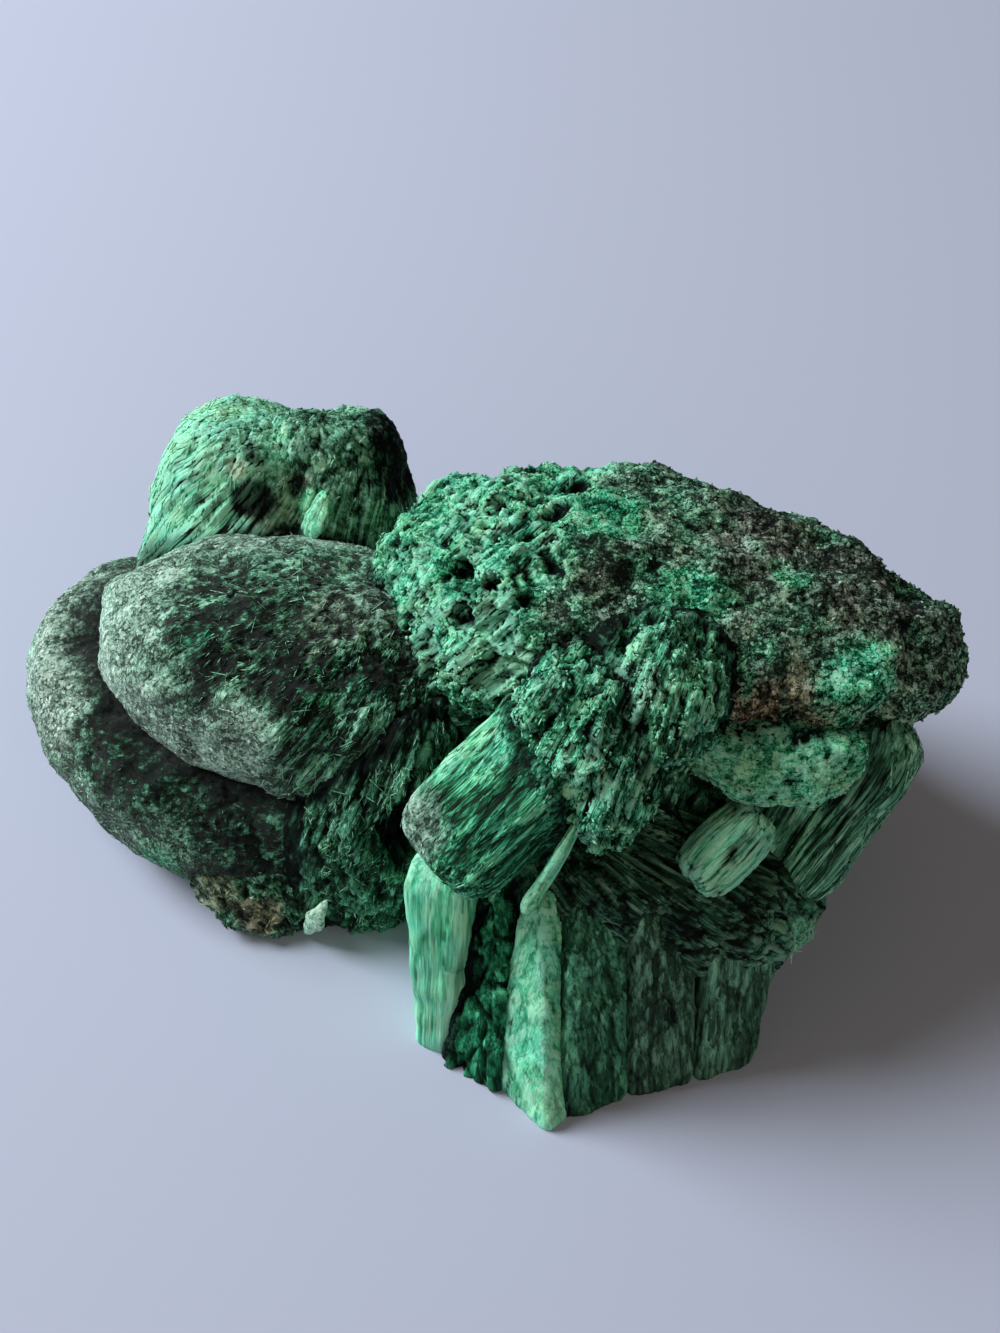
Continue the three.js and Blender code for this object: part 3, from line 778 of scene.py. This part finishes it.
ridge = Lobe([[-10, 17.5, 24.5], [-2, 11.7, 27.5], [10, 6.5, 28.6], [24, 3.4, 27], [35, 2.8, 25.8],
              [45, 5.2, 24.9]], [6.5, 10.6, 14.5, 14.3, 11.4, 6], [7, 8.7, 9.6, 8.8, 7.6, 5.2],
             blunt=3.3, square=2.4, lumps=0.9, lump_size=5, spacing=0.27, source=(-52, -22, -10))
shoulder = Lobe([[0.8, 10, 29], [-0.6, 3.5, 28], [2.2, -5, 26.5]], [8, 7.2, 6], [6, 5.5, 5], blunt=2.6,
                lumps=0.7, lump_size=4, spacing=0.27, source=(-52, -22, -10))
for number, lobe in enumerate((ridge, shoulder)):
    p = lobe.points
    waver = 6 * uneven(p, 4.5, 41)
    dark = ease(3, 9, p[..., 0] - 0.35 * (p[..., 1] - 4) + waver)
    smooth = spots(p, (-9, 13, 31, 8), (-5.5, 7, 31, 5))
    bright = spots(p, (-6.6, 0.3, 29, 5.5), (-2, -3, 31.5, 6))
    green = spots(p, (10, 8.6, 38.1, 4.5), (17.2, -1, 37, 4.5), (27.1, 3.6, 35.7, 2.6), (12.3, -9, 36.8, 5))
    green = np.maximum(green, spots(p, (33, -6, 32, 5), ragged=1.0))
    brown = spots(p, (9.1, 3, 38.4, 4.5), (3.6, -3.4, 34.8, 4.5))
    stone = spots(p, (25.4, 7.5, 35.6, 6.5), (34, 3, 33, 7))
    rusty = spots(p, (20.6, -8.6, 32.2, 3.2), (23.4, -9, 31.4, 3.2), (28, -8.4, 31.6, 3.6), ragged=1.2)
    # painted shade: holes are pressed-in pores darkened inside, edge darkens the right tip and back edge,
    # streaks are grooves darkened inside
    holes = spots(p, (-3.7, 4.1, 35.1, 1.7), (-0.1, 11.3, 37, 1.3), (-3.4, 0.9, 32.4, 1.6),
                  (-1.2, 1.8, 36.4, 1.2), (4.4, 5.5, 37.1, 1.3), ragged=0.4)
    edge = spots(p, (42, 2, 28, 8), (35, 10, 32, 7), (25, 13, 34, 5))
    fibrous = ease(0.42, 0.58, layered(p, 3.5, 45)) * (1 - dark)
    streaks = bright * ease(0.5, 0.38, layered(lobe.fibres() / (1, 1, 6), 1.3, 48))
    lobe.raise_by(-1.6 * holes - 0.4 * streaks)
    lobe.flare(grown, 3.0).finish(
        2000 + 100 * number,
        0.76 - dark * (0.29 - 0.18 * green + 0.24 * brown + 0.08 * stone) + 0.14 * rusty - 0.1 * edge
        + 0.36 * bright - 0.04 * smooth + 0.7 * (1 - dark) * uneven(p, 2.6, 47),
        crust=0.8 - 0.3 * smooth - 0.6 * dark - 0.5 * bright,
        silk=np.clip(0.1 + 0.9 * fibrous + bright - 0.1 * dark, 0, 1), grit=0.3 + 0.7 * dark,
        grey=np.clip(dark * (0.44 + 0.4 * stone + 1.2 * uneven(p, 2.4, 43) - 0.6 * green), 0, 1),
        rust=(1 - green) * np.clip(
            dark * (0.45 * brown + 0.15 * stone + 1.1 * (layered(p, 3.2, 44) - 0.48)) + 0.8 * rusty,
            0, 0.9),
        hollow=0.15 * edge + 0.9 * holes + 0.33 * streaks)
build_piece("crusted_top", [ridge, shoulder], CRUST)
grown += [ridge, shoulder]

# Middle lumps
# Short blunt sprays of malachite that grew out between the crust and the columns:
# two crumbling lumps with pale tips and a seam between them painted dark as shade,
# and a mint ledge under the crust.

crumbling = Lobe([[4, -6, 33], [8, -13, 30], [10, -20, 25]], [6, 6, 4.8], [6, 5.5, 4], blunt=2.6,
                 lumps=0.8, lump_size=3.5, spacing=0.27, source=(30, 20, 60))
grey_lump = Lobe([[14, -2, 34], [14.5, -9, 32.5], [14.5, -15, 30]], [6, 5.5, 4.2], [5, 5, 4], blunt=2.8,
                 lumps=0.8, lump_size=3.5, spacing=0.27, source=(30, 20, 60))
seam_shades = crumbling.meeting(grey_lump, 1.8, 6.0), grey_lump.meeting(crumbling, 1.8, 6.0)
p = crumbling.points
pale = np.maximum(spots(p, (9.5, -18, 31, 4)), 0.7 * spots(p, (6.5, -16.7, 33.4, 3)))
crumbling.flare(grown, 3.0).finish(
    2300, 0.59 + 0.26 * pale, silk=1.0, crust=0.4, grit=0.4, grey=0.05, hollow=0.6 * seam_shades[0])
pale = spots(grey_lump.points, (11, -11, 36.5, 4), ragged=1.5)
grey_lump.flare(grown, 3.0).finish(
    2400, 0.59 + 0.06 * pale, silk=0.8, crust=0.4, grit=0.5, grey=0.12 + 0.15 * pale, hollow=0.6 * seam_shades[1])
ledge = Lobe([[18, -10, 27.4], [25, -11.2, 26.2], [33, -9, 25.2]], [4.5, 5, 5], [2.6, 2.6, 2.6],
             blunt=3.2, lumps=0.6, lump_size=3.5, spacing=0.27, twist=0.02)
dull = spots(ledge.points, (33, -9, 27, 5))
ledge.flare(grown, 3.0).finish(2500, 0.88 - 0.24 * dull, crust=0.45, silk=0.35, grit=1.0, bold=0.7)
build_piece("middle_lumps", [crumbling, grey_lump, ledge], CRUST)
grown += [crumbling, grey_lump, ledge]

# Blunt fingers
# A wide blunt spray with a grey weathered end, a thin needle, a short rounded
# finger and a spray cut off square. All are silky malachite fibres that run with
# their length, and grew out of the lumps.

wedge = Lobe([[8, -10, 30], [1, -14.5, 26.5], [-5.9, -19.6, 21.4]], [4.5, 6, 6.2], [4.5, 4.4, 3.9],
             blunt=5, square=3.4, lumps=0.3, spacing=0.24)
weathered = spots(wedge.points, (-8, -17.5, 25, 5))
bright = spots(wedge.points, (-3, -13, 30, 5), (-4, -22, 19.5, 3.5))
# painted highlight: the wedge's edges, where corner is high, are painted lighter
wedge.flare(grown, 2.0).finish(
    2600, 0.37 + 0.1 * weathered + 0.32 * bright + 0.16 * wedge.corner, silk=1 - 0.6 * weathered,
    nap=weathered, grit=1.3 * weathered, grey=0.05 + 0.7 * weathered, bold=0.45)
needle = Lobe([[8, -17.8, 28.8], [6, -20.4, 26.6], [4, -22.8, 24.2], [2, -24.9, 21.8]],
              [0.5, 0.55, 0.65, 1.1], [0.5, 0.55, 0.65, 1.0], blunt=3, lumps=0.15, spacing=0.15, twist=0.0)
needle.finish(2700, 0.92, silk=0.6, nap=0.4, bold=0.4)
finger = Lobe([[23.8, -15.8, 24.4], [20.5, -18.2, 22], [17.2, -20.4, 19.6]], [2.8, 3.1, 2.9],
              [2.7, 3, 2.8], blunt=4, square=2.2, lumps=0.15, spacing=0.18, twist=0.0)
# painted highlight: the rounded lower end of the finger
rim = spots(finger.points, (17, -20.8, 19, 3.2))
finger.flare(grown, 1.0).finish(2800, 1.03 + 0.08 * rim, silk=0.85, crust=0.15, grit=0.6, bold=0.6)
spray = Lobe([[34.8, -5, 24], [30.4, -11.8, 18.6], [25.4, -17.2, 13.2]], [6.8, 5.1, 4.2], [4.5, 4.5, 3.5],
             blunt=6, square=2.4, lumps=0.3, spacing=0.24, source=(41, -6, 35), twist=0.0)
rim = spots(spray.points, (25, -18, 13, 4.5))
spray.flare(grown, 3.0).finish(2900, 0.6 + 0.14 * rim, silk=0.95, grit=0.4, grey=0.3, bold=0.5)
build_piece("fingers", [wedge, needle, finger, spray], SILK)
grown += [wedge, needle, finger, spray]

# Front columns and dark slope
# The broken front of the core: upright slabs of parallel malachite fibres side by
# side, the left ones mint and the right ones dark, with gaps between them painted
# black as shade, and the dark fibres that fan out over their tops to the lower right.

SLAB = mineral("smooth fibre slab", splinter=0.42, granule=0.35, contrast=0.5, gap=0.4, tilt=0.3,
               bump=0.06, roughness=0.65, fleck_and_glint=0.05)
DARK_SLAB = mineral("dark fibre slab", splinter=0.36, granule=0.35, contrast=0.4, gap=0.35, tilt=0.4,
                    bump=0.08, roughness=0.7, fleck_and_glint=0.15)

columns = []
for foot_at, head_at, wide, deep, face, blunt, tone, grey, bold in (
        ([-4.6, -21.9, 0], [-4.5, -17, 20.5], (2.1, 3.6), 5, (-0.42, -0.91, 0), 7, 0.85, 0, 0.15),
        ([-0.3, -25.8, 0], [-0.4, -15.5, 18], (3.8, 2.6), 4.6, (-0.5, -0.87, 0), 5, 0.4, 0, 1.2),
        ([3.6, -30.2, 0], [4.5, -20.3, 18.8], (4.1, 1.6), 3, (-0.66, -0.75, 0), 5, 0.88, 0, 0.2),
        ([7.3, -28.1, 0], [7.9, -19.2, 19], (3.7, 3.5), 5, (0.39, -0.92, 0), 4, 0.42, 0.25, 0.3),
        ([14.1, -25.4, 0], [14.5, -19.4, 19], (3.5, 3.5), 5.6, (0.2, -1, 0), 4, 0.37, 0.5, 0.3),
        ([20.3, -23.6, 0], [21.8, -19, 18], (3.3, 4.4), 5.8, (0.25, -1, 0), 4, 0.41, 0.45, 0.3)):
    foot_at, head_at = np.array(foot_at, float), np.array(head_at, float)
    low, high = wide
    column = Lobe([foot_at - (0, 0, 4), foot_at, head_at], [low, low, high],
                  [deep, deep, deep * 0.85], up=face, blunt=blunt, square=6,
                  lumps=0.3, lump_size=4.5, spacing=0.3,
                  source=foot_at + (0, 6, 90), twist=None if columns else 0.0)
    column.flare(core, 1.5)
    # painted shade in the gaps between neighbouring columns
    column.seam = np.maximum(column.seam, ease(1.3, 0.2, np.abs(column.nearest_gap(columns, 1.5))))
    # painted highlight: each column's edges, where corner is high, are painted lighter
    column.finish(3000 + 100 * len(columns), tone + 0.1 * column.corner, silk=1.0, grey=grey, bold=bold)
    columns.append(column)
slope = Lobe([[4, -14, 14.5], [16, -16.5, 14.2], [29, -17.5, 10.6]], [8.5, 7.4, 6.2], [7.5, 6.7, 5.9],
             blunt=3.3, lumps=0.7, source=(-6, -8, 26))
lit = spots(slope.points, (28, -21, 13, 6))
slope.flare(grown + columns, 3.0).finish(
    3700, 0.49 + 0.28 * lit, silk=1.0, crust=0.2, grey=0.3 - 0.2 * lit, bold=0.6)
build_piece("bright_columns", [columns[0], columns[2]], SLAB)
build_piece("dark_columns", [columns[1]] + columns[3:], DARK_SLAB)
build_piece("dark_slope", [slope], DARK_FIBRE)
grown += columns + [slope]

# Loose splinters
# Broken malachite fibres that lie on the sprays and stand out of the torn edges,
# and the pale hairs of the velvet, each still held at its root. They are
# three-sided needles, pointed at both ends.


def strew(lobe, count, seed, length, width, tone, lift=0.2, wander=0.2, where=1.0):
    """Needles on a lobe, even over its open area: each along the fibres there,
    turned by `wander` and lifted by up to `lift` radians, and as grey or rusty as
    the lobe. Gives centre, axis, normal, length, width and the masks of each."""
    floor_gap, lobe_gap, too_hollow, scatter = 0.8, 0.5, 0.3, 0.1
    rng = np.random.default_rng(seed)
    p, n = lobe.points, lobe.normals()
    around = (np.roll(p, -1, axis=1) - np.roll(p, 1, axis=1)) / 2
    area = length_of(np.cross(np.gradient(p, axis=0), around))
    others = [other for other in grown if other is not lobe]
    area = area * where * (p[..., 2] > floor_gap) * (lobe.values["hollow"] < too_hollow)
    area = area * (lobe.nearest_gap(others, lobe_gap) > 0)
    area[0] = area[-1] = 0
    pick = rng.choice(area.size, count, p=(area / area.sum()).ravel())
    place, normal = p.reshape(-1, 3)[pick], n.reshape(-1, 3)[pick]
    ahead = unit(place - lobe.source)
    ahead = unit(ahead - normal * (ahead * normal).sum(-1, keepdims=True))
    turn = (wander * rng.standard_normal(count))[:, None]
    axis = ahead * np.cos(turn) + np.cross(normal, ahead) * np.sin(turn)
    axis = unit(axis + normal * (lift * rng.uniform(-0.3, 1, count))[:, None])
    size = rng.uniform(0.5, 1.3, (2, count))
    own, grey, rust = (lobe.values[key].ravel()[pick] for key in ("tone", "grey", "rust"))
    return (place, axis, normal, length * size[0], width * size[1],
            own + tone + scatter * rng.standard_normal(count), grey, rust)


def build_splinters(name, batches, material):
    """Each needle is a tail point, two rings of three points at `ring_at` of its
    length each way, and a head point, with its own small square of the UV map."""
    ring_at, taper, lifted, lowest = 0.3, 0.8, 0.2, 0.02
    place, axis, normal, length, width, tone, grey, rust = map(np.concatenate, zip(*batches))
    count = len(place)
    across = unit(np.cross(axis, normal))
    over = np.cross(axis, across)
    k, after = np.array([0, 1, 2]), np.array([1, 2, 0])
    theta = k * 2 * np.pi / 3 + 0.5
    spoke = across[:, None] * np.cos(theta)[:, None] + over[:, None] * np.sin(theta)[:, None]
    half = (width / 2)[:, None, None]
    stretch = axis[:, None] * length[:, None, None]
    centre = (place + normal * (lifted * width)[:, None])[:, None]
    rings = [centre - ring_at * stretch + spoke * half,
             centre + ring_at * stretch + spoke * half * taper]
    points = np.concatenate([centre - 0.5 * stretch, *rings, centre + 0.5 * stretch], 1)
    base = (np.arange(count) * 8)[:, None, None]
    quads = base + np.stack([1 + k, 1 + after, 4 + after, 4 + k], -1)[None]
    tails = base + np.stack([0 * k, 1 + after, 1 + k], -1)[None]
    heads = base + np.stack([4 + k, 4 + after, 0 * k + 7], -1)[None]
    side = int(np.ceil(np.sqrt(count)))
    corner = (np.stack([np.arange(count) % side, np.arange(count) // side], -1) / side)[:, None, None]

    def uv(*pairs):
        chart = [[(0.1 + 0.8 * (face + u) / 3, v) for u, v in pairs] for face in k]
        return (corner + np.array(chart) / side).reshape(-1, 2)

    corner_uv = np.concatenate([uv((0, 0.25), (1, 0.25), (1, 0.75), (0, 0.75)),
                                uv((0.5, 0.1), (1, 0.25), (0, 0.25)), uv((0, 0.75), (1, 0.75), (0.5, 0.9))])
    each = {"tone": tone, "grey": grey, "rust": rust, "hollow": 0 * tone, "silk": 0 * tone + 1}
    flat = points.reshape(-1, 3)
    flat[:, 2] = np.maximum(flat[:, 2], lowest)
    values = {key: np.repeat(value, points.shape[1]) for key, value in each.items()}
    new_mesh(name, flat, quads.reshape(-1, 4), np.concatenate([tails, heads]).reshape(-1, 3),
             corner_uv, values | {"fibre": flat}, material)


worn_off = wear_and_shade + torn_side
# each row: lobe, count, seed, length, width, tone, lift, wander and where
for name, material, rows in (
        ("silky_splinters", SILK, (
            (fan, 900, 1, 1.6, 0.16, 0.0, 0.1), (knob, 500, 2, 0.9, 0.22, 0.0, 0.2, 0.8),
            (wedge, 250, 3, 1.4, 0.14, 0.05, 0.1), (spray, 250, 5, 1.6, 0.14, 0.05, 0.1))),
        ("dark_splinters", DARK_FIBRE, (
            (torn, 400, 20, 1.4, 0.13, 0.1, 0.4, 0.3), (hollow_floor, 500, 21, 1.0, 0.15, 0.05, 0.5, 0.8),
            (slope, 900, 22, 1.2, 0.12, 0.08, 0.2, 0.35), (foot, 300, 23, 1.0, 0.24, 0.0, 0.2, 0.9),
            (upper_pillow, 700, 24, 1.3, 0.14, 0.1, 0.2, 0.4, worn_off),
            (barrel, 300, 29, 1.1, 0.12, 0.1, 0.3, 0.8), (core[1], 500, 25, 1.6, 0.22, 0.0),
            (core[3], 500, 26, 1.6, 0.22, 0.0), (core[4], 400, 27, 1.6, 0.22, 0.0),
            (core[0], 400, 28, 1.5, 0.22, 0.0, 0.2, 0.5))),
        ("crust_grains", CRUST, (
            (ridge, 1600, 30, 0.6, 0.3, 0.0, 0.4, 2.0), (shoulder, 250, 31, 0.6, 0.3, 0.0, 0.4, 2.0),
            (crumbling, 400, 32, 0.7, 0.26, 0.04, 0.5, 1.0),
            (grey_lump, 300, 33, 0.6, 0.26, 0.02, 0.5, 2.0), (ledge, 200, 34, 0.7, 0.22, 0.02, 0.4, 1.0))),
        ("velvet_hairs", VELVET, (
            (upper_pillow, 900, 40, 0.7, 0.09, 0.3, 0.5, 2.0), (barrel, 900, 42, 0.7, 0.09, 0.3, 0.5, 2.0),
            (torn, 110, 43, 1.9, 0.1, 0.45, 0.6, 0.7), (hollow_floor, 80, 44, 1.7, 0.1, 0.45, 0.6, 0.9),
            (upper_pillow, 220, 45, 1.8, 0.1, 0.6, 0.4, 0.6, worn_off),
            (slope, 160, 46, 2.0, 0.1, 0.6, 0.4, 0.4)))):
    build_splinters(name, [strew(*row) for row in rows], material)

# Floor, light and camera
# A plain pale surface, one large soft light from the back left like a window, a
# faint warm one from the front right, a dim sky, and the camera looking down at 50
# degrees.

half = 1.5
corners = [(x * half, y * half, 0) for x, y in ((-1, -1), (1, -1), (1, 1), (-1, 1))]
floor_mesh = bpy.data.meshes.new("floor")
floor_mesh.from_pydata(corners, [], [(0, 1, 2, 3)])
floor = placed("floor", floor_mesh)
ground = bpy.data.materials.new("pale floor")
ground.use_nodes = True
surface = ground.node_tree.nodes["Principled BSDF"].inputs
surface["Base Color"].default_value = linear(182, 188, 208)
surface["Roughness"].default_value = 0.8
floor_mesh.materials.append(ground)


def area_light(name, place, aim, size, power, colour):
    """A square lamp at `place` that faces `aim`, metres and watts."""
    lamp = bpy.data.lights.new(name, "AREA")
    lamp.size, lamp.energy, lamp.color = size, power, colour
    holder = placed(name, lamp)
    holder.location = place
    holder.rotation_euler = (Vector(aim) - Vector(place)).to_track_quat("-Z", "Y").to_euler()


area_light("window", (-0.62, 0.26, 0.55), (0, 0, 0.02), 0.42, 10.8, (0.9, 0.95, 1.0))
area_light("bounce", (0.2, -0.6, 0.5), (0, 0, 0.02), 0.6, 0.85, (1.0, 0.91, 0.82))
world = bpy.data.worlds.new("room")
world.use_nodes = True
world.node_tree.nodes["Background"].inputs["Color"].default_value = (1.0, 0.82, 0.62, 1.0)
world.node_tree.nodes["Background"].inputs["Strength"].default_value = 0.12
bpy.context.scene.world = world
bpy.context.scene.view_settings.view_transform = "Standard"

ELEVATION = np.radians(50.0)
DISTANCE = 186.0
AIM = np.array([0.0, 6.0, 19.0])
camera_data = bpy.data.cameras.new("camera")
camera_data.lens, camera_data.sensor_width = 50.0, 36.0
camera_data.clip_start, camera_data.clip_end = 0.01, 10.0
camera = placed("camera", camera_data)
backward = np.array([0.0, -np.cos(ELEVATION), np.sin(ELEVATION)])
camera.location = (AIM + DISTANCE * backward - MIDDLE) * MM
camera.rotation_euler = (np.pi / 2 - ELEVATION, 0, 0)
bpy.context.scene.camera = camera
